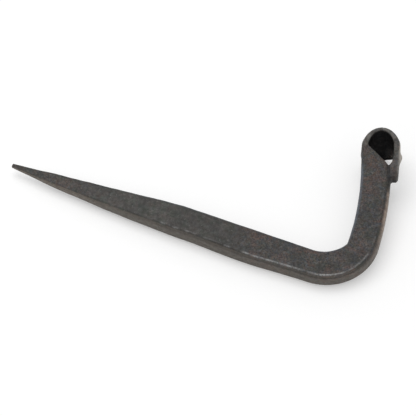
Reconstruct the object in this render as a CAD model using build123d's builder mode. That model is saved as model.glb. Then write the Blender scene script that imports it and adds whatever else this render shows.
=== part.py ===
from build123d import *
from collections import namedtuple
from math import asin, atan2, cos, degrees, hypot, radians, sin, tan
import os

# A hand-forged iron L hook in millimetres, lying as it comes to rest on a flat surface.
# The long leg runs along X with its spike towards -X, and the short leg turns towards +Y.
# The hook is one piece of bar: a spike, a straight bar, a bend on edge, a short leg that curves
# in a little, and an eye rolled from the leaf-shaped end of that leg.

# Bar stock
BAR_WIDTH = 12.0            # across the bar, in the plane of the L
BAR_THICKNESS = 8.2         # square to the plane of the L
BAR_EDGE = 2.0              # rounding of the four long edges

# Spike
SPIKE_LENGTH = 74.0
TIP_WIDTH = 1.65
TIP_THICKNESS = 1.6
TIP_EDGE = 0.5
TIP_OFFSET = -0.15          # tip's middle, from the bar's centre line towards the inner side
SPIKE_BELLY = 0.32          # share by which the spike bows out past a straight taper
SPIKE_SECTIONS = 5

# Long leg and bend
ROOT_LEAD = 2.0             # both sides start square to the spike's root for this length
STRAIGHT_LENGTH = 57.0      # from the spike's root to the start of the bend's outer curve
OUTER_SWELL = 0.8           # the outer side swells this much along the straight bar
SWELL_PLACE = 33.0          # from the spike's root to the fullest part of the swell
INNER_FALL = 0.25           # the inner side draws in this much from the spike's root to the bend
BEND_RADIUS = 21.6          # outer side of the bend
BEND_ANGLE = 94.9           # turn from the long leg into the short leg
INNER_LEAD = 2.0            # the inner side starts to curve this far before the outer side
CORNER_DROP = 3.5           # the inner corner lies this far short of the outer curve's end
CORNER_RADIUS = 2.0

# Short leg
LEG_RADIUS = 131.0          # centre line of the short leg, which curves in towards the spike
LEG_TURN = 14.8             # turn along that curve

# Eye: the leg's end is drawn out to a leaf and rolled into a loop that laps on the outer side
EYE_RADIUS = 5.05           # inside of the loop
EYE_REACH = 9.1             # from the end of the leg's curve up to the loop's centre
EYE_LEAN = 8.0              # lean of the loop's axis from square to the plane of the L
SIDE_WALL = 2.75            # strip at the two sides of the loop
CROWN_WALL = 1.5            # strip at the top of the loop
TIP_WALL = 3.5              # strip at its lapped tip, with the part welded into the leg
STRIP_EDGE = 0.7            # rounding of the strip's edges
CROWN_RISE = 2.6            # leaf above the leg's upper face, at the crown
CROWN_DROP = 9.2            # leaf below the leg's lower face, at the crown
LEAF_FULLNESS = 0.7         # below 1, the leaf keeps its depth further round the loop
LEAF_FLARE = 4.0            # lean of the strip's lower edge outwards, at the lapped side
FLARE_ONSET = 3             # higher holds the flare closer to the lapped side
ROOT_DEPTH = 7.0            # how far down inside the leg the strip starts
ROOT_INSET = 1.0            # how far in from the leg's faces it starts
TAIL_LENGTH = 14.0          # from the loop's centre down to the lapped tip
TIP_HEIGHT = 4.6            # lapped tip along the loop's axis
LAP_START = 9.7             # below the loop's centre, where the strip has closed on to the leg
LAP_TUCK = 4                # higher closes the strip on to the leg more suddenly
LAP_BITE = 0.6              # how deep the lapped strip is welded into the leg's outer side
LAP_DRAW = 0.6              # how far the leg's outer side draws in under the lapped strip
ROOT_SECTIONS = 4
ARC_SECTIONS = 8
TAIL_SECTIONS = 9

# Shoulder where the full bar stops beside the eye
SHOULDER_RISE = 0.5         # inner end, above the loop's centre
SHOULDER_FALL = 9.8         # outer end, below the loop's centre
SHOULDER_BULGE = 0.1        # how far the shoulder bows out towards the eye
NECK_TAPER = 0.15           # how far the leg's inner side draws in under the strip

half_width = BAR_WIDTH / 2
half_thickness = BAR_THICKNESS / 2
loop_radius = EYE_RADIUS + SIDE_WALL
lap_side = BAR_WIDTH - loop_radius      # the leg's outer side, from the loop's centre


def heading(angle):
    """Unit direction at an angle in degrees from a plane's own X."""
    return Vector(cos(radians(angle)), sin(radians(angle)))


# Plan of the L in its own plane, with the spike's tip at the origin and the long leg along X
bend_start = SPIKE_LENGTH + STRAIGHT_LENGTH
bend_centre = Vector(bend_start, BEND_RADIUS - half_width)
leg_centre = bend_centre + heading(BEND_ANGLE + 90) * (LEG_RADIUS + half_width - BEND_RADIUS)
along = heading(BEND_ANGLE + LEG_TURN)
outward = heading(BEND_ANGLE + LEG_TURN - 90)
leg_end = leg_centre + outward * LEG_RADIUS
eye_centre = leg_end + outward * (loop_radius - half_width) + along * EYE_REACH
tip_inner = TIP_OFFSET + TIP_WIDTH / 2
inner_root = Vector(SPIKE_LENGTH, half_width)
inner_start = inner_root + Vector(ROOT_LEAD, 0)
inner_foot = Vector(bend_start - INNER_LEAD, half_width - INNER_FALL)
outer_root = Vector(SPIKE_LENGTH, -half_width)
corner_turn = degrees(CORNER_DROP / LEG_RADIUS)
lap_turn = degrees((TAIL_LENGTH - EYE_REACH) / LEG_RADIUS)
corner = leg_centre + heading(BEND_ANGLE - corner_turn - 90) * (LEG_RADIUS - half_width)


def at_eye(across, up):
    """Point in the plane of the L, measured from the loop's centre."""
    return eye_centre + outward * across + along * up


# Rest: the bar's lower outer edge and the lowest edge of the leaf both touch the floor
edge_y = half_width - BAR_EDGE
edge_z = half_thickness - BAR_EDGE
contact_y = eye_centre.Y + (EYE_RADIUS + CROWN_WALL / 2) * along.Y + edge_y
leaf_depth = half_thickness + CROWN_DROP - BAR_EDGE
tilt = degrees(asin(leaf_depth / hypot(contact_y, edge_z)) - atan2(edge_z, contact_y))
rest_height = BAR_EDGE + edge_y * sin(radians(tilt)) + edge_z * cos(radians(tilt))


def tilted(angle):
    """Upward direction leaned towards -Y by an angle in degrees."""
    return Vector(0, -sin(radians(angle)), cos(radians(angle)))


forge = Plane(origin=(0, 0, rest_height), x_dir=(1, 0, 0), z_dir=tilted(tilt))
outward_lean = forge.from_local_coords(outward) - forge.origin
eye_plane = Plane(forge.from_local_coords(eye_centre), x_dir=outward_lean, z_dir=tilted(tilt - EYE_LEAN))

# Spike: sections that grow from the blunt tip to the full bar. The inner side is straight, and
# the other three sides bow out.
with BuildPart() as spike:
    for step in range(SPIKE_SECTIONS):
        place = step / (SPIKE_SECTIONS - 1)
        grown = place * (1 + SPIKE_BELLY * (1 - place))
        width = TIP_WIDTH + (BAR_WIDTH - TIP_WIDTH) * grown
        thickness = TIP_THICKNESS + (BAR_THICKNESS - TIP_THICKNESS) * grown
        edge = TIP_EDGE + (BAR_EDGE - TIP_EDGE) * grown
        inner = tip_inner + (half_width - tip_inner) * place
        station = forge.from_local_coords(Vector(SPIKE_LENGTH * place, inner - width / 2))
        with BuildSketch(Plane(station, x_dir=forge.y_dir, z_dir=(1, 0, 0))):
            RectangleRounded(width, thickness, edge)
    loft()

# Straight bar, bend and short leg: one plan outline, with its long edges rounded
with BuildPart() as bar:
    with BuildSketch(forge) as plan:
        with BuildLine():
            swell = outer_root + Vector(SWELL_PLACE, -OUTER_SWELL)
            outer_end = Vector(bend_start, -half_width)
            outer_lead = Line(outer_root, outer_root + Vector(ROOT_LEAD, 0))
            outer_side = Spline(outer_lead @ 1, swell, outer_end, tangents=[(1, 0), (1, 0)])
            outer_bend = JernArc(outer_side @ 1, (1, 0), BEND_RADIUS, BEND_ANGLE)
            outer_leg = JernArc(outer_bend @ 1, outer_bend % 1, LEG_RADIUS + half_width, LEG_TURN - lap_turn)
            outer_lap = Line(outer_leg @ 1, at_eye(lap_side - LAP_DRAW, -LAP_START))
            outer_neck = Line(outer_lap @ 1, at_eye(lap_side - LAP_DRAW, SHOULDER_RISE))
            neck_end = Line(outer_neck @ 1, at_eye(NECK_TAPER - loop_radius, SHOULDER_RISE))
            inner_neck = Line(neck_end @ 1, leg_centre + outward * (LEG_RADIUS - half_width))
            inner_leg = RadiusArc(inner_neck @ 1, corner, LEG_RADIUS - half_width)
            inner_bend = TangentArc(inner_foot, corner, tangent=inner_foot - inner_start)
            inner_side = Line(inner_foot, inner_start)
            inner_lead = Line(inner_side @ 1, inner_root)
            Line(inner_lead @ 1, outer_lead @ 0)
        make_face()
        fillet(plan.vertices().sort_by_distance(forge.from_local_coords(corner))[0], CORNER_RADIUS)
    extrude(amount=half_thickness, both=True)
    face_edges = bar.edges().filter_by(lambda edge: abs(forge.to_local_coords(edge @ 0.5).Z) > edge_z)
    end_edges = face_edges.sort_by_distance(forge.from_local_coords(Vector(SPIKE_LENGTH, 0)))[:2]
    end_edges += face_edges.sort_by_distance(forge.from_local_coords(neck_end @ 0.5))[:2]
    fillet(face_edges - end_edges, BAR_EDGE)
    # The shoulder is a slanting cut that leaves the strip's root on the inner side
    with BuildSketch(forge):
        with BuildLine():
            shoulder_foot = at_eye(lap_side, -SHOULDER_FALL)
            shoulder = SagittaArc(at_eye(-EYE_RADIUS, SHOULDER_RISE), shoulder_foot, SHOULDER_BULGE)
            below = Line(shoulder_foot, at_eye(loop_radius, -SHOULDER_FALL))
            beside = Line(below @ 1, at_eye(loop_radius, loop_radius))
            above = Line(beside @ 1, at_eye(-EYE_RADIUS, loop_radius))
            Line(above @ 1, shoulder @ 0)
        make_face()
    extrude(amount=BAR_THICKNESS, both=True, mode=Mode.SUBTRACT)

# Leaf: stations along the strip's middle line, in the eye's own plane. Each holds its place
# across and up, the direction it faces, its wall, the bury of its edges below the leg's faces,
# how much of the crown it has (0 to 1) and how far it is down the lapped tail (0 to 1).
Station = namedtuple("Station", "across up facing wall bury crown tail")
side_across = EYE_RADIUS + SIDE_WALL / 2
lap_inner = lap_side - LAP_DRAW - LAP_BITE
lap_outer = lap_side - LAP_BITE + TIP_WALL
stations = []
for step in range(ROOT_SECTIONS):
    buried = 1 - step / ROOT_SECTIONS
    inset = ROOT_INSET * buried
    stations.append(Station(inset - side_across, -ROOT_DEPTH * buried, 180, SIDE_WALL, inset, 0, 0))
for step in range(ARC_SECTIONS + 1):
    angle = 180 - 180 * step / ARC_SECTIONS
    crown = sin(radians(angle))
    wall = SIDE_WALL + (CROWN_WALL - SIDE_WALL) * crown
    middle = heading(angle) * (EYE_RADIUS + wall / 2)
    stations.append(Station(middle.X, middle.Y, angle, wall, 0, crown, 0))
for step in range(TAIL_SECTIONS):
    tail = (step + 1) / TAIL_SECTIONS
    closing = min(1, TAIL_LENGTH * tail / LAP_START) ** LAP_TUCK
    lapped = max(0, TAIL_LENGTH * tail - LAP_START) / (TAIL_LENGTH - LAP_START)
    inner = EYE_RADIUS + (lap_inner - EYE_RADIUS) * closing + LAP_DRAW * lapped
    outer = loop_radius + (lap_outer - loop_radius) * tail
    stations.append(Station((inner + outer) / 2, -TAIL_LENGTH * tail, 0, outer - inner, 0, 0, tail))

with BuildPart() as leaf:
    for station in stations:
        # The leg's two faces pass the upright eye at a slope
        slope = (outward.Y * station.across + along.Y * station.up) * tan(radians(EYE_LEAN))
        face_reach = half_thickness / cos(radians(EYE_LEAN)) - station.bury
        top = slope + face_reach + CROWN_RISE * station.crown
        leg_bottom = slope - face_reach - CROWN_DROP * station.crown ** LEAF_FULLNESS
        bottom = leg_bottom + (top - TIP_HEIGHT - leg_bottom) * station.tail
        height = top - bottom
        facing = heading(station.facing)
        flare = radians(LEAF_FLARE) * ((1 + facing.X) / 2) ** FLARE_ONSET * (1 - station.tail)
        middle = Vector(station.across, station.up, (top + bottom) / 2) + facing * (sin(flare) * height / 2)
        radial = eye_plane.x_dir * facing.X + eye_plane.y_dir * facing.Y
        onward = eye_plane.x_dir * facing.Y - eye_plane.y_dir * facing.X
        leaning = radial * cos(flare) + eye_plane.z_dir * sin(flare)
        with BuildSketch(Plane(eye_plane.from_local_coords(middle), x_dir=leaning, z_dir=onward)):
            RectangleRounded(station.wall, height, STRIP_EDGE)
    loft()

with BuildPart() as forging:
    add(bar.part)
    add(spike.part)
    add(leaf.part)

# The finished hook stands on Z = 0, centred over the middle of its own outline
outline = forging.part.bounding_box()
with BuildPart() as l_hook:
    add(forging.part.moved(Location((-outline.center().X, -outline.center().Y, -outline.min.Z))))

os.makedirs("parts", exist_ok=True)
l_hook.part.label = "l_hook"
export_step(l_hook.part, "parts/l_hook.step")
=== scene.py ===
import bpy
import math
import numpy as np
from mathutils import Matrix, Vector, noise


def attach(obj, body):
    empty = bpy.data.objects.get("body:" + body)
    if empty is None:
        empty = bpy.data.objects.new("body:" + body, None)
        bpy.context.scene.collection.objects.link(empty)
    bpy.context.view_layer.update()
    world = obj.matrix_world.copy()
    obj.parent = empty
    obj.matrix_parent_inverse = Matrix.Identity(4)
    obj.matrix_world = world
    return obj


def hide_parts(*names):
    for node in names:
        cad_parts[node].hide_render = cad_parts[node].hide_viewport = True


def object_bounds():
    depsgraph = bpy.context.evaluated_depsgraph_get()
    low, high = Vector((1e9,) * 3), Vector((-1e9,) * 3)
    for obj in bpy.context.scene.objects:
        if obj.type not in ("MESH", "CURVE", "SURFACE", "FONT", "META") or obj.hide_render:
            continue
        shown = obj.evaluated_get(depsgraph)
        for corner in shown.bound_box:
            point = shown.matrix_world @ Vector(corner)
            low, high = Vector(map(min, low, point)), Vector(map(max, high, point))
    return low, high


# A hand-forged L hook. The CAD solid is remeshed into an even skin, and that skin gets what the
# hammer and the fire leave on it: uneven faces, a raised lip along the outer edge, worn edges
# and scale. Lengths in this script are in millimetres until the mesh is written in metres.

MM = 0.001

# The hook's plan, as the CAD has it: the plane that the L lies in, and the bar's centre line
BAR_WIDTH = 12.0
BAR_THICKNESS = 8.2
BAR_EDGE = 2.0
SPIKE_LENGTH = 74.0
TIP_WIDTH = 1.65
TIP_THICKNESS = 1.6
TIP_EDGE = 0.5
TIP_INNER = 0.675           # the spike's inner side at its tip, from the bar's centre line
SPIKE_BELLY = 0.32
OUTER_SWELL = 0.8
SWELL_START, SWELL_PEAK = 76.0, 107.0
BEND_START = 131.0
BEND_ANGLE = 94.9
BEND_MIDLINE = 15.6
LEG_MIDLINE = 131.0
LEG_TURN = 14.8
TILT = 7.730
PLANE_ORIGIN = (-76.3, -29.2879, 4.72795)

# The eye: its own axes across, up the leg and through the loop
EYE_CENTRE = (61.6815, 29.2517, 12.6745)
EYE_ACROSS = (0.942508, 0.334179, -0.001572)
EYE_UP = (-0.334183, 0.942498, -0.004434)
EYE_THROUGH = (0.0, 0.004705, 0.999989)
EYE_RADIUS = 5.05
CROWN_RISE = 2.6
CROWN_DROP = 9.2
LEAF_FULLNESS = 0.7
TAIL_LENGTH = 14.0          # from the loop's centre down to the lapped tip
HALF_LEAF = 4.14            # half the leaf's depth where it leaves the leg
SLOPE_ACROSS, SLOPE_UP = 0.047, 0.132       # of the leaf's middle, seen along the eye's axes
TAIL_CLIMB = 3.68           # how far the leaf's lower edge climbs down to the lapped tip

VOXEL = 0.31                # spacing of the skin's points

# Stretches along the bar's middle line, from the spike's tip, over which a mark comes or goes
TIP_THIN = (-2, 18)
TIP_BURNT = (20, 55)
LIGHT_STARTS = (-10, 50)
SIDE_REFLECTION_DIMS = (25, 55)
EDGE_STARTS = (4, 30)
SPIKE_DRAWN = (60, 95)
LIP_STARTS = (50, 78)
LIP_PRESSED = (100, 116)
LIP_SHIFTS = (140, 166)
LIP_FADES = (142, 160)
LIP_THINS = (160, 175)
LIP_ENDS = (188, 196)
BAR_BURNT = (84, 118)
LEG_STARTS = (148, 166)
LEG_INNER = (150, 164)
LEG_ENDS = (176, 183)
LAP_STARTS = (170, 176)
GROOVE_STARTS, GROOVE_ENDS = (177, 183), (191, 195)
TAIL_STARTS = (184, 187)
BAR_ENDS = (188, 194)

# Stretches across the bar, out from its middle line, and round its edges
BAR_SIDE = (6.15, 6.5)
GROOVE_PLACE, GROOVE_WIDTH = 5.2, 0.6
STRIP_OUTSIDE, STRIP_THINS = 9.6, 0.7
STRIP_RIM, STRIP_FACE = (-0.9, -0.1), (-0.3, 0.1)
INNER_STARTS, INNER_ENDS = (0.5, 1.6), (2.2, 4.4)
SIDE_FACE, LEG_FACE = (0.5, 0.85), (0.3, 0.85)      # shares of the edge's rounding
LOW_FACE, LOW_SIDE = (0.0, 0.6), (0.2, 0.7)         # the same, for the lower edge
EDGE_DOWN, EDGE_IN = 4, 3   # how far from an upper edge its marks are worked out

# Stretches in the eye's own axes
EYE_NEAR = (9.0, 14.0)      # from its centre, where what belongs to the eye goes out
BORE_SIDE = (EYE_RADIUS + 0.3, EYE_RADIUS + 1.2)
RIM_SIDE = (EYE_RADIUS - 0.3, EYE_RADIUS + 0.2)
RIM_TOP, BORE_TOP = (0.2, 1.1), (0.3, 1.2)
FLARE_DEPTH, FLARE_PLACE, FLARE_LENGTH = 2.0, -0.8, 3.2
FLARE_SIDE = (3.5, 5.0)
FOOT_DEPTH = 2.4
UNDER_CROWN, ABOVE_LAP = (0.5, 3.0), (-7, -4)
LEAN_SIDE = (2.5, 4.0)
CRESCENT_PLACE, CRESCENT_LENGTH = -1.5, 5.0
CRESCENT_SIDE = (5.0, 6.5)
TAIL_SIDE, TAIL_CORNER = (2.6, 4.0), (6.2, 7.2)
TAIL_END = (TAIL_LENGTH - 2.6, TAIL_LENGTH - 1.0)
TAIL_REACH = (TAIL_LENGTH + 1.2, TAIL_LENGTH + 4.6)
TAIL_RUBBED = (6, 9)        # down from the centre

# Hammer marks: the size and seed of each kind, its depth, and how much deeper it is on the spike
BROAD_SIZE, BROAD_SEED, BROAD_DEPTH, BROAD_DRAWN = 7.0, 3.7, 0.10, 0.14
DENT_SIZE, DENT_SEED, DENT_DEPTH, DENT_DRAWN = 3.0, 11.3, 0.035, 0.02
PIT_SIZE, PIT_SEED, PIT_DEPTH = 1.15, 23.9, 0.016
GRAIN_STRETCH = 0.55        # below 1, broad marks are longer along the bar

# The lip: its height, its width, its place round the edge, and the crease below it
LIP_HEIGHT, LIP_PRESSED_HEIGHT, LIP_FADED_HEIGHT, LIP_UNEVEN = 0.16, 0.12, 0.18, 0.05
LIP_WIDTH = 0.42
LIP_PLACE, LIP_SHIFT = 0.85, 1.25
WANDER_SIZE, WANDER_SEED, WANDER = 9.0, 5.1, 0.22
BREAK_SIZE, BREAK_SEED = 3.2, 41.0
CREASE_GAP = 1.45
CREASE_DEPTH, CREASE_PRESSED, CREASE_FADED = 0.05, 0.06, 0.07

# The leaf: how far its lower edge turns out, its wall leans in, and the lapped tip is drawn down
FLARE = 0.9
CROWN_LEAN, SIDE_LEAN = 2.1, 0.9
TAIL_DRAW = 0.8

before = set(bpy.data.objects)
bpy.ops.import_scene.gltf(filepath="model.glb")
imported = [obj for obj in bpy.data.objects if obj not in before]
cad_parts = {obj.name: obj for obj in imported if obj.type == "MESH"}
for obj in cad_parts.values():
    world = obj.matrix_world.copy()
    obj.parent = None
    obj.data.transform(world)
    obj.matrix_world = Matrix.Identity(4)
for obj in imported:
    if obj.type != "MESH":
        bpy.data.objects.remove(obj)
cad_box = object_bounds()


# ---- Skin ------------------------------------------------------------------------------------

def skin_of(node):
    """An even quad mesh over a CAD node, as a new mesh."""
    source = bpy.data.objects.new("hook_source", node.data.copy())
    bpy.context.scene.collection.objects.link(source)
    remesh = source.modifiers.new("remesh", "REMESH")
    remesh.mode = "VOXEL"
    remesh.voxel_size = VOXEL * MM
    graph = bpy.context.evaluated_depsgraph_get()
    mesh = bpy.data.meshes.new_from_object(source.evaluated_get(graph))
    mesh.name = "forged_hook"
    mesh.materials.clear()
    bpy.data.objects.remove(source)
    return mesh


def read_points(mesh):
    points = np.empty(len(mesh.vertices) * 3)
    mesh.vertices.foreach_get("co", points)
    return points.reshape(-1, 3) / MM


def write_points(mesh, points):
    mesh.vertices.foreach_set("co", (points * MM).ravel())
    mesh.update()


def read_normals(mesh):
    normals = np.empty(len(mesh.vertices) * 3)
    mesh.vertex_normals.foreach_get("vector", normals)
    return normals.reshape(-1, 3)


def read_edges(mesh):
    edges = np.empty(len(mesh.edges) * 2, dtype=np.int64)
    mesh.edges.foreach_get("vertices", edges)
    return edges.reshape(-1, 2)


def neighbour_mean(values, edges, count):
    """Mean of each point's neighbours' values, which may be numbers or vectors."""
    total = np.zeros_like(values)
    np.add.at(total, edges[:, 0], values[edges[:, 1]])
    np.add.at(total, edges[:, 1], values[edges[:, 0]])
    return total / (count if values.ndim == 1 else count[:, None])


def step(values, low, high):
    """0 at low, 1 at high, and smooth between them."""
    t = np.clip((values - low) / (high - low), 0, 1)
    return t * t * (3 - 2 * t)


def stretch(values, rise, fall):
    """Comes in over the rise and goes out over the fall."""
    return step(values, *rise) * (1 - step(values, *fall))


def hump(values, middle, spread):
    """1 in the middle, and next to nothing at twice the spread."""
    return np.exp(-(((values - middle) / spread) ** 2))


def soften(values, edges, count, rounds, share=1.0):
    """Each point moved a share of the way to the mean of its neighbours, some rounds over."""
    for _ in range(rounds):
        values = values + share * (neighbour_mean(values, edges, count) - values)
    return values


def rough_field(points, size, seed):
    """Perlin noise with features about size across, from -1 to 1."""
    at = (points + seed) / size
    return np.array([noise.noise(Vector(p)) for p in at])


mesh = skin_of(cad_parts["l_hook"])
points = read_points(mesh)
edges = read_edges(mesh)
valence = np.bincount(edges.ravel(), minlength=len(points)).astype(float)


# ---- Where each point is on the bar -----------------------------------------------------------

TINY = 1e-6                 # keeps divisions clear of zero

lean = math.radians(TILT)
plane_x = np.array([1.0, 0.0, 0.0])
plane_y = np.array([0.0, math.cos(lean), math.sin(lean)])
plane_z = np.array([0.0, -math.sin(lean), math.cos(lean)])
local = points - np.array(PLANE_ORIGIN)
plan_x, plan_y, height = local @ plane_x, local @ plane_y, local @ plane_z

turn = math.radians(BEND_ANGLE)
bend_centre = np.array([BEND_START, BEND_MIDLINE])
bend_exit = np.array([math.sin(turn), -math.cos(turn)])
leg_centre = bend_centre - bend_exit * (LEG_MIDLINE - BEND_MIDLINE)
bend_length = BEND_MIDLINE * turn
leg_length = LEG_MIDLINE * math.radians(LEG_TURN)
end_turn = turn + math.radians(LEG_TURN)
leg_end = leg_centre + LEG_MIDLINE * np.array([math.sin(end_turn), -math.cos(end_turn)])
leg_start = BEND_START + bend_length
eye_start = leg_start + leg_length

around_bend = np.arctan2(plan_x - bend_centre[0], bend_centre[1] - plan_y)
around_leg = np.arctan2(plan_x - leg_centre[0], leg_centre[1] - plan_y)
past_end_x, past_end_y = plan_x - leg_end[0], plan_y - leg_end[1]
past_end = past_end_x * math.cos(end_turn) + past_end_y * math.sin(end_turn)

on_spike = (plan_x < BEND_START) & (plan_y < BEND_MIDLINE)
in_bend = ~on_spike & (around_bend < turn) & (around_bend > 0)
in_leg = ~on_spike & ~in_bend & (past_end < 0)
across_bend = np.hypot(plan_x - bend_centre[0], plan_y - bend_centre[1]) - BEND_MIDLINE
across_leg = np.hypot(plan_x - leg_centre[0], plan_y - leg_centre[1]) - LEG_MIDLINE
across_eye = past_end_x * math.sin(end_turn) - past_end_y * math.cos(end_turn)
along = np.select(
    [on_spike, in_bend, in_leg],
    [plan_x, BEND_START + BEND_MIDLINE * around_bend,
     leg_start + LEG_MIDLINE * (around_leg - turn)],
    eye_start + past_end)
outward = np.select([on_spike, in_bend, in_leg], [-plan_y, across_bend, across_leg], across_eye)

# The bar's outer side, half thickness and edge rounding where each point is
grown = np.clip(plan_x / SPIKE_LENGTH, 0, 1)
grown = np.where(on_spike, grown * (1 + SPIKE_BELLY * (1 - grown)), 1)
swell = np.minimum(step(along, SWELL_START, SWELL_PEAK), 1 - step(along, SWELL_PEAK, BEND_START))
inner_side = TIP_INNER + (BAR_WIDTH / 2 - TIP_INNER) * np.clip(along / SPIKE_LENGTH, 0, 1)
outer_side = TIP_WIDTH + (BAR_WIDTH - TIP_WIDTH) * grown - inner_side + OUTER_SWELL * swell
half_thickness = (TIP_THICKNESS + (BAR_THICKNESS - TIP_THICKNESS) * grown) / 2
edge_round = TIP_EDGE + (BAR_EDGE - TIP_EDGE) * grown


def distance_round(corner_out, corner_up):
    """Distance round an upper edge: 0 where the top face ends, growing down the side."""
    angle = np.arctan2(np.maximum(corner_out, 0), np.maximum(corner_up, TINY))
    return angle * edge_round + np.minimum(corner_out, 0) - np.minimum(corner_up, 0)


# Round the outer upper edge, and round the inner one
corner_out = outward - (outer_side - edge_round)
corner_up = height - (half_thickness - edge_round)
corner_down = -height - (half_thickness - edge_round)
round_edge = distance_round(corner_out, corner_up)
round_inner = distance_round(-outward - (inner_side - edge_round), corner_up)
near_edge = (corner_up > -EDGE_DOWN) & (corner_out > -EDGE_IN)

# The eye's own coordinates, and the height above the leaf's lower edge
from_eye = points - np.array(EYE_CENTRE)
eye_across, eye_up, eye_through = (
    from_eye @ np.array(axis) for axis in (EYE_ACROSS, EYE_UP, EYE_THROUGH))
eye_flat = np.hypot(eye_across, eye_up)
by_eye = 1 - step(eye_flat, *EYE_NEAR)
crown = np.clip(eye_up / np.maximum(eye_flat, TINY), 0, 1)
tail = np.clip(-eye_up / TAIL_LENGTH, 0, 1)
leaf_middle = SLOPE_ACROSS * eye_across + SLOPE_UP * eye_up
leaf_bottom = leaf_middle - HALF_LEAF - CROWN_DROP * crown ** LEAF_FULLNESS + TAIL_CLIMB * tail
above_leaf_edge = eye_through - leaf_bottom


# ---- What the hammer leaves -------------------------------------------------------------------

normals = read_normals(mesh)

# Broad uneven faces and finer dents, both deeper on the drawn-out spike, and pits
drawn = 1 - step(along, *SPIKE_DRAWN)
stretched = np.column_stack([along * GRAIN_STRETCH, outward, height])
broad = rough_field(stretched, BROAD_SIZE, BROAD_SEED)
dents = rough_field(points, DENT_SIZE, DENT_SEED)
pits = rough_field(points, PIT_SIZE, PIT_SEED)
relief = broad * (BROAD_DEPTH + BROAD_DRAWN * drawn)
relief += dents * (DENT_DEPTH + DENT_DRAWN * drawn) + pits * PIT_DEPTH
relief *= (0.4 + 0.6 * step(along, *TIP_THIN)) * (1 - 0.5 * by_eye)

# The lip that the hammer pushed up along the outer upper edge, and the crease below it
zeros = np.zeros_like(along)
wander = rough_field(np.column_stack([along, zeros, zeros]), WANDER_SIZE, WANDER_SEED) * WANDER
broken = rough_field(np.column_stack([along, round_edge, zeros]), BREAK_SIZE, BREAK_SEED)
lip_run = step(along, *LIP_STARTS) * (1 - 0.45 * step(along, *LIP_THINS))
lip_run *= (1 - step(along, *LIP_ENDS)) * step(along, *EDGE_STARTS) * near_edge
pressed = step(along, *LIP_PRESSED)
faded = step(along, *LIP_FADES)
lip_height = LIP_HEIGHT + LIP_PRESSED_HEIGHT * pressed - LIP_FADED_HEIGHT * faded
lip_height += LIP_UNEVEN * broken
lip_place = LIP_PLACE - LIP_SHIFT * step(along, *LIP_SHIFTS) + wander
lip = hump(round_edge, lip_place, LIP_WIDTH) * lip_run
crease = hump(round_edge, lip_place + CREASE_GAP, LIP_WIDTH) * lip_run
crease_depth = CREASE_DEPTH + CREASE_PRESSED * pressed - CREASE_FADED * faded
relief += lip * lip_height - crease * crease_depth
points = points + normals * relief[:, None]

# The leaf's lower edge turns outwards where the strip comes down to the leg
bore_side = 1 - step(eye_flat, *BORE_SIDE)
leaf_edge = np.maximum(above_leaf_edge, 0)
flare = hump(leaf_edge, 0, FLARE_DEPTH) * hump(eye_up, FLARE_PLACE, FLARE_LENGTH)
flare *= step(eye_across, *FLARE_SIDE)
points += np.outer(FLARE * flare * (1 - bore_side), np.array(EYE_ACROSS))

# The leaf's wall leans in towards the foot of the eye, most under the crown
foot = hump(leaf_edge, 0, FOOT_DEPTH) * (eye_flat < EYE_NEAR[0])
crown_lean = CROWN_LEAN * step(eye_up, *UNDER_CROWN) * (0.35 + 0.65 * bore_side)
side_lean = SIDE_LEAN * bore_side * step(eye_across, *LEAN_SIDE) * step(eye_up, *ABOVE_LAP)
outwards = np.outer(eye_across, EYE_ACROSS) + np.outer(eye_up, EYE_UP)
outwards /= np.maximum(eye_flat, 1)[:, None]
points -= outwards * (np.maximum(crown_lean, side_lean) * foot)[:, None]

# Everything a little softened, and the strip's lapped end more, which is drawn down the leg
points = soften(points, edges, valence, 2, 0.5)
tail_end = step(-eye_up, *TAIL_END) * step(eye_across, *TAIL_SIDE)
tail_end *= 1 - step(eye_flat, *TAIL_REACH)
points = soften(points, edges, valence, 8, 0.6 * tail_end[:, None])
outer_corner = step(eye_across, *TAIL_CORNER)
points -= np.outer(TAIL_DRAW * tail_end * (1 - 0.6 * outer_corner), np.array(EYE_UP))
write_points(mesh, points)
normals = read_normals(mesh)


# ---- Where each colour goes -------------------------------------------------------------------

# How much each point stands out (positive) or lies in a hollow (negative); hollows get painted
# shade
bend_in = neighbour_mean(points, edges, valence) - points
standing = soften(-(bend_in * normals).sum(axis=1) / VOXEL, edges, valence, 3)

# Inside the eye, which gets painted shade, and its rim
leaf_top = leaf_middle + HALF_LEAF + CROWN_RISE * crown
below_rim = leaf_top - eye_through
bore_edge = BORE_SIDE[0] + 0.8 * (above_leaf_edge < FLARE_DEPTH)
bore = (1 - step(eye_flat, bore_edge, bore_edge + 0.5)) * step(below_rim, *BORE_TOP)
rim = (1 - step(below_rim, *RIM_TOP)) * step(eye_flat, *RIM_SIDE) * by_eye
rim *= step(np.maximum(eye_up + 1, eye_across - 3), 0, 1.5) * (0.45 + 0.55 * step(eye_up, -1, 3))

# The bar's outer side and its lower edge, which get painted reflections of the floor, and the
# inner upper edge, which gets a painted cool reflection of the backdrop, up to where the strip
# laps
on_strip = step(outward, *BAR_SIDE) * step(along, *LAP_STARTS)
on_bar = (1 - step(along, *BAR_ENDS)) * (1 - on_strip)
side = corner_out / edge_round
low_side = step(side, *SIDE_FACE) * on_bar * (0.55 - 0.2 * step(along, *SIDE_REFLECTION_DIMS))
low_side *= 1 - step(along, *LEG_STARTS)
# The short leg's outer side gets a painted warm reflection of the floor
leg_side = step(side, *LEG_FACE) * on_bar * stretch(along, LEG_STARTS, LEG_ENDS)
low_edge = step(corner_down / edge_round, *LOW_FACE) * step(side, *LOW_SIDE) * on_bar
inner_edge = stretch(round_inner, INNER_STARTS, INNER_ENDS) * (corner_up > -EDGE_DOWN)
inner_edge *= (0.5 + 0.5 * step(along, *LEG_INNER)) * on_bar
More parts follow.
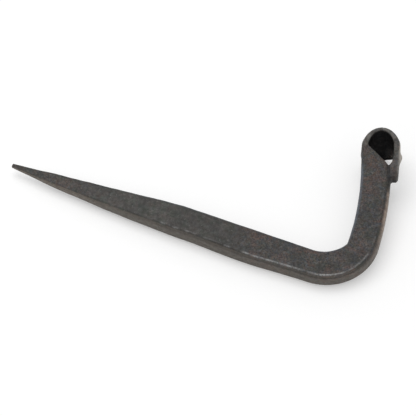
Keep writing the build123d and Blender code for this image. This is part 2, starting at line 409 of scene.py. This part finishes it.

# The lapped strip: the groove where it meets the leg, which gets painted shade, its outer edge,
# and its outer side, which with the leaf's flared edge gets painted bounce light from the floor
groove = hump(outward, GROOVE_PLACE, GROOVE_WIDTH) * stretch(along, GROOVE_STARTS, GROOVE_ENDS)
strip_side = outward - (STRIP_OUTSIDE - STRIP_THINS * tail)
tail_rim = step(strip_side, *STRIP_RIM) * step(along, *TAIL_STARTS)
tail_rim *= 1 + step(-eye_up, *TAIL_RUBBED)
crescent = step(strip_side, *STRIP_FACE) * hump(eye_up, CRESCENT_PLACE, CRESCENT_LENGTH)
crescent *= step(eye_across, *CRESCENT_SIDE)

# How bright the lip's painted highlight is, broken up along the lip
lip_highlight = 0.15 + 0.75 * pressed - 0.7 * faded + 1.2 * broken
# Each mark's strength at each point, under the name that the iron reads it by
fields = {
    "rim": rim,
    # The leaf's flared edge and the strip's outer side, painted lighter as bounce light from the
    # floor
    "flare": np.minimum(np.maximum(flare, crescent), 1),
    "tail_end": tail_end,
    "low_side": low_side,
    "leg_side": leg_side,
    "low_edge": low_edge,
    "inner_edge": inner_edge,
    # Painted highlight on the lip
    "lip": lip ** 1.6 * np.clip(lip_highlight, 0, 1.2) * (1 - 0.3 * faded),
    "groove": groove,
    "tail_rim": tail_rim,
    "burnt": step(along, *BAR_BURNT) + 0.6 * (1 - step(along, *TIP_BURNT)),
    # Painted shade along the crease under the lip
    "crease": crease * (0.5 + 0.5 * pressed - 0.9 * faded),
    "standing": standing,
    "bore": bore,
    "drawn": drawn * step(along, *LIGHT_STARTS),
}
for name, values in fields.items():
    attribute = mesh.attributes.new(name, "FLOAT", "POINT")
    attribute.data.foreach_set("value", values.astype(np.float32))
mesh.polygons.foreach_set("use_smooth", [True] * len(mesh.polygons))

hook = bpy.data.objects.new("forged_hook", mesh)
bpy.context.scene.collection.objects.link(hook)


# ---- Iron ------------------------------------------------------------------------------------

class Tree:
    """Short ways to add and join shader nodes."""

    def __init__(self, tree):
        self.tree = tree

    def put(self, kind, settings=None, **values):
        """Add a node. The values go to the inputs named so, with _ for a space."""
        node = self.tree.nodes.new(kind)
        for key, value in (settings or {}).items():
            setattr(node, key, value)
        for key, value in values.items():
            self.feed(node, key.replace("_", " "), value)
        return node

    def feed(self, node, key, value):
        socket = node.inputs[key]
        if isinstance(value, bpy.types.NodeSocket):
            self.tree.links.new(value, socket)
        else:
            socket.default_value = value

    def math(self, operation, *values, clamp=False):
        node = self.put("ShaderNodeMath", {"operation": operation, "use_clamp": clamp})
        for index, value in enumerate(values):
            self.feed(node, index, value)
        return node.outputs[0]

    def times(self, first, second, clamp=False):
        return self.math("MULTIPLY", first, second, clamp=clamp)

    def ramp(self, value, low, high, to_low=0.0, to_high=1.0):
        node = self.put("ShaderNodeMapRange", {"interpolation_type": "SMOOTHSTEP"}, Value=value)
        limits = {"From Min": low, "From Max": high, "To Min": to_low, "To Max": to_high}
        for key, number in limits.items():
            node.inputs[key].default_value = number
        return node.outputs[0]

    def noise(self, where, size, detail=2.0, roughness=0.5, distortion=0.0):
        node = self.put("ShaderNodeTexNoise", Vector=where, Scale=1 / (size * MM), Detail=detail,
                        Roughness=roughness, Distortion=distortion)
        return node.outputs["Fac"]

    def blend(self, share, first, second, blend_type="MIX"):
        node = self.put("ShaderNodeMix", {"data_type": "RGBA", "blend_type": blend_type})
        self.feed(node, 0, share)
        self.feed(node, 6, first)
        self.feed(node, 7, second)
        return node.outputs[2]

    def attribute(self, name):
        return self.put("ShaderNodeAttribute", {"attribute_name": name}).outputs["Fac"]


WHITE = (1, 1, 1, 1)
# Scale and oxide, and last the near-black used for painted shade
GREY = (0.0310, 0.0276, 0.0245, 1)
GREEN = (0.0255, 0.0288, 0.0228, 1)
BLUE = (0.0245, 0.0275, 0.0330, 1)
BROWN = (0.0500, 0.0272, 0.0215, 1)
PALE = (0.0560, 0.0530, 0.0490, 1)
FLECK = (0.110, 0.104, 0.096, 1)
PAINTED_SHADE = (0.0042, 0.0043, 0.0046, 1)
# Thin films that tint it
WARM_FILM = (1.16, 1.0, 0.80, 1)
COOL_FILM = (0.86, 1.0, 1.22, 1)
# Rubbed iron first, then painted light: reflections, the lip's highlight and bounce light
WORN = (0.170, 0.162, 0.150, 1)
# Painted cool reflection of the backdrop on the inner upper edge
COOL_REFLECTION = (0.108, 0.128, 0.158, 1)
# Painted reflection of the floor on the outer side and the lower edge
FLOOR_REFLECTION = (0.190, 0.159, 0.128, 1)
# Painted warm reflection of the floor on the short leg's outer side
WARM_REFLECTION = (0.300, 0.232, 0.185, 1)
# Painted highlight along the lip
LIP_HIGHLIGHT = (0.300, 0.300, 0.300, 1)
# Painted bounce light from the floor on the leaf's flared edge and the strip's outer side
BOUNCE_LIGHT = (0.450, 0.405, 0.350, 1)


def scale_colour(tree, where):
    """Oxide in patches of grey, green-grey, blue-grey and red-brown, clouded and grained.

    Noise sizes are in millimetres. Each ramp gives where its noise sets in and is full.
    """
    burnt = tree.attribute("burnt")
    drift = tree.ramp(tree.noise(where, 3.4, 3, 0.65, 0.5), 0.44, 0.60)
    colour = tree.blend(drift, GREY, GREEN)
    cold = tree.ramp(tree.noise(where, 4.1, 4, 0.7, 0.4), 0.50, 0.62)
    colour = tree.blend(tree.times(cold, tree.ramp(burnt, 0, 1, 0.2, 0.9)), colour, BLUE)
    rust = tree.ramp(tree.noise(where, 6.0, 5, 0.72, 0.8), 0.44, 0.64)
    colour = tree.blend(tree.times(rust, tree.ramp(burnt, 0, 1, 0.12, 0.8)), colour, BROWN)
    cloud = tree.ramp(tree.noise(where, 1.9, 4, 0.72), 0.46, 0.78, 0.0, 0.8)
    colour = tree.blend(cloud, colour, PALE)
    shade = tree.ramp(tree.noise(where, 6.0, 3, 0.6), 0.35, 0.65, 0.80, 1.20)
    colour = tree.blend(1.0, colour, shade, "MULTIPLY")
    grain = tree.ramp(tree.noise(where, 0.62, 3, 0.75), 0.32, 0.68, -0.6, 0.6)
    grain = tree.math("MULTIPLY_ADD", grain, tree.ramp(burnt, 0, 1, 0.42, 1.2), 1.0)
    colour = tree.blend(1.0, colour, grain, "MULTIPLY")
    film = tree.ramp(tree.noise(where, 1.3, 3, 0.75), 0.40, 0.60)
    film = tree.blend(film, WARM_FILM, COOL_FILM)
    film = tree.blend(tree.times(tree.ramp(burnt, 0, 1, 0.2, 1.0), 0.8), WHITE, film)
    colour = tree.blend(1.0, colour, film, "MULTIPLY")
    lighter = tree.math("MULTIPLY_ADD", tree.attribute("drawn"), 0.28, 1.0)
    return tree.blend(1.0, colour, lighter, "MULTIPLY")


def wear_and_light_colour(tree, where, colour):
    """Light flecks, rubbed edges, and painted reflections, highlight, bounce light and shade, from
    below to on top.
    """
    standing = tree.attribute("standing")
    patchiness = tree.ramp(tree.noise(where, 1.6, 3, 0.7), 0.38, 0.62)
    patches = tree.ramp(tree.noise(where, 2.6, 3, 0.65), 0.36, 0.62, 0.62, 1.08)
    sparkle = tree.ramp(tree.noise(where, 0.7, 2, 0.6), 0.40, 0.60, 0.35, 1.1)
    blotch = tree.ramp(tree.noise(where, 1.5, 3, 0.7), 0.40, 0.64, 0.86, 1.0)
    flecks = tree.ramp(tree.noise(where, 0.95, 2, 0.6), 0.64, 0.72, 0.0, 0.6)

    def patchy_by(low, high):
        return tree.ramp(patchiness, 0, 1, low, high)

    def mask(name, share, clamp=False):
        return tree.times(tree.attribute(name), share, clamp=clamp)

    layers = [
        (flecks, FLECK),
        (tree.times(tree.ramp(standing, 0.03, 0.09, 0.0, 0.45), patchiness), WORN),
        # Painted cool reflection of the backdrop on the inner upper edge
        (mask("inner_edge", patchy_by(0.45, 0.75)), COOL_REFLECTION),
        # Painted shade in the hollows
        (tree.ramp(standing, -0.006, -0.03, 0.0, 0.7), PAINTED_SHADE),
        # Painted reflections of the floor on the outer sides and the lower edge
        (mask("low_side", patchy_by(0.8, 1.2)), FLOOR_REFLECTION),
        (mask("leg_side", tree.times(patches, patchy_by(0.65, 1.15))), WARM_REFLECTION),
        (mask("low_edge", 0.6), FLOOR_REFLECTION),
        # Painted shade in the crease under the lip
        (mask("crease", 0.6), PAINTED_SHADE),
        # Painted highlight along the lip
        (mask("lip", sparkle, clamp=True), LIP_HIGHLIGHT),
        (mask("rim", patchy_by(0.20, 0.60)), WORN),
        # Painted shade in the groove where the strip meets the leg
        (mask("groove", 0.75), PAINTED_SHADE),
        (mask("tail_rim", patchy_by(0.2, 0.7)), WORN),
        # Painted shade on the lapped end
        (mask("tail_end", 0.5), PAINTED_SHADE),
        # Painted bounce light from the floor on the leaf's flared edge and the strip's outer side
        (mask("flare", patches, clamp=True), BOUNCE_LIGHT),
        # Painted shade inside the eye
        (mask("bore", blotch), PAINTED_SHADE),
    ]
    for share, over in layers:
        colour = tree.blend(share, colour, over)
    return colour


def iron():
    material = bpy.data.materials.new("blackened_iron")
    material.use_nodes = True
    tree = Tree(material.node_tree)
    shader = material.node_tree.nodes["Principled BSDF"]
    where = tree.put("ShaderNodeTexCoord").outputs["Object"]
    tree.feed(shader, "Base Color", wear_and_light_colour(tree, where, scale_colour(tree, where)))

    # The lip is smoother than the rest, and the bore, under its painted shade, hardly shines
    rough = tree.ramp(tree.noise(where, 1.4, 3, 0.6), 0.3, 0.7, 0.50, 0.72)
    rough = tree.math("SUBTRACT", rough, tree.times(tree.attribute("lip"), 0.18))
    tree.feed(shader, "Roughness", rough)
    shine = tree.math("MULTIPLY_ADD", tree.attribute("bore"), -0.42, 0.5)
    tree.feed(shader, "Specular IOR Level", shine)

    fine = tree.times(tree.noise(where, 0.28, 2), 0.5)
    height = tree.math("ADD", tree.noise(where, 0.9, 4, 0.65), fine)
    bump = tree.put("ShaderNodeBump", Strength=0.55, Distance=0.06 * MM, Height=height)
    tree.feed(shader, "Normal", bump.outputs["Normal"])
    return material


mesh.materials.append(iron())
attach(hook, "root")
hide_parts("l_hook")


# ---- Studio ----------------------------------------------------------------------------------

FLOOR_WHITE = 0.88          # what the floor gives back to the hook
FLOOR_SEEN = 0.72           # what it shows of the light that falls on it
FLOOR_LIFT = 0.33           # what it shows besides, so that the open floor is white
FLOOR_REACH = 6.0
DOME = 0.63                 # the world's light
KEY_PLACE = (-0.22, 0.05, 0.87)
KEY_SIZE = 0.7
KEY_POWER = 3.4


def white_floor():
    material = bpy.data.materials.new("floor_white")
    material.use_nodes = True
    material.node_tree.nodes.clear()
    tree = Tree(material.node_tree)
    path = tree.put("ShaderNodeLightPath").outputs
    seen = tree.math("MAXIMUM", path["Is Camera Ray"], path["Is Glossy Ray"])
    seen = tree.math("MAXIMUM", seen, path["Is Transmission Ray"])
    tone = tree.math("MULTIPLY_ADD", seen, FLOOR_SEEN - FLOOR_WHITE, FLOOR_WHITE)
    diffuse = tree.put("ShaderNodeBsdfDiffuse", Color=tone)
    glow = tree.put("ShaderNodeEmission", Strength=tree.times(seen, FLOOR_LIFT))
    both = tree.put("ShaderNodeAddShader")
    tree.feed(both, 0, diffuse.outputs[0])
    tree.feed(both, 1, glow.outputs[0])
    tree.put("ShaderNodeOutputMaterial", Surface=both.outputs[0])
    return material


floor_mesh = bpy.data.meshes.new("floor")
corners = [(x * FLOOR_REACH, y * FLOOR_REACH, 0) for x, y in ((-1, -1), (1, -1), (1, 1), (-1, 1))]
floor_mesh.from_pydata(corners, [], [(0, 1, 2, 3)])
floor_mesh.materials.append(white_floor())
floor = bpy.data.objects.new("floor", floor_mesh)
bpy.context.scene.collection.objects.link(floor)

world = bpy.data.worlds.new("studio")
bpy.context.scene.world = world
world.use_nodes = True
world.node_tree.nodes.clear()
sky = Tree(world.node_tree)
dome = sky.put("ShaderNodeBackground", Strength=DOME)
backdrop = sky.put("ShaderNodeBackground", Strength=1.0)
for background in (dome, backdrop):
    background.inputs["Color"].default_value = WHITE
shown = sky.put("ShaderNodeMixShader")
sky.feed(shown, 0, sky.put("ShaderNodeLightPath").outputs["Is Camera Ray"])
sky.feed(shown, 1, dome.outputs[0])
sky.feed(shown, 2, backdrop.outputs[0])
sky.put("ShaderNodeOutputWorld", Surface=shown.outputs[0])

middle = (cad_box[0] + cad_box[1]) / 2
key_light = bpy.data.lights.new("key", "AREA")
key_light.shape = "SQUARE"
key_light.size = KEY_SIZE
key_light.energy = KEY_POWER
key = bpy.data.objects.new("key", key_light)
bpy.context.scene.collection.objects.link(key)
key.location = KEY_PLACE
key.rotation_mode = "QUATERNION"
key.rotation_quaternion = (middle - Vector(KEY_PLACE)).to_track_quat("-Z", "Y")


# ---- Camera ----------------------------------------------------------------------------------

CAM_AZIMUTH = -22.993       # 0 looks along +Y
CAM_ELEVATION = 53.781
CAM_ROLL = -0.403
CAM_DISTANCE = 0.8
CAM_LENS = 173.05
CAM_AIM = Vector((0.006778, -0.020887, 0.008))

azimuth, elevation, roll = (math.radians(a) for a in (CAM_AZIMUTH, CAM_ELEVATION, CAM_ROLL))
forward = Vector((math.sin(azimuth) * math.cos(elevation), math.cos(azimuth) * math.cos(elevation),
                  -math.sin(elevation)))
level = Vector((math.cos(azimuth), -math.sin(azimuth), 0))
upright = level.cross(forward)
cam_x = level * math.cos(roll) + upright * math.sin(roll)
cam_y = upright * math.cos(roll) - level * math.sin(roll)
cam_data = bpy.data.cameras.new("camera")
cam_data.lens = CAM_LENS
cam_data.clip_start, cam_data.clip_end = 0.01, 30
camera = bpy.data.objects.new("camera", cam_data)
bpy.context.scene.collection.objects.link(camera)
camera.location = CAM_AIM - forward * CAM_DISTANCE
camera.rotation_mode = "QUATERNION"
camera.rotation_quaternion = Matrix((cam_x, cam_y, -forward)).transposed().to_quaternion()
bpy.context.scene.camera = camera
bpy.context.scene.view_settings.view_transform = "Standard"
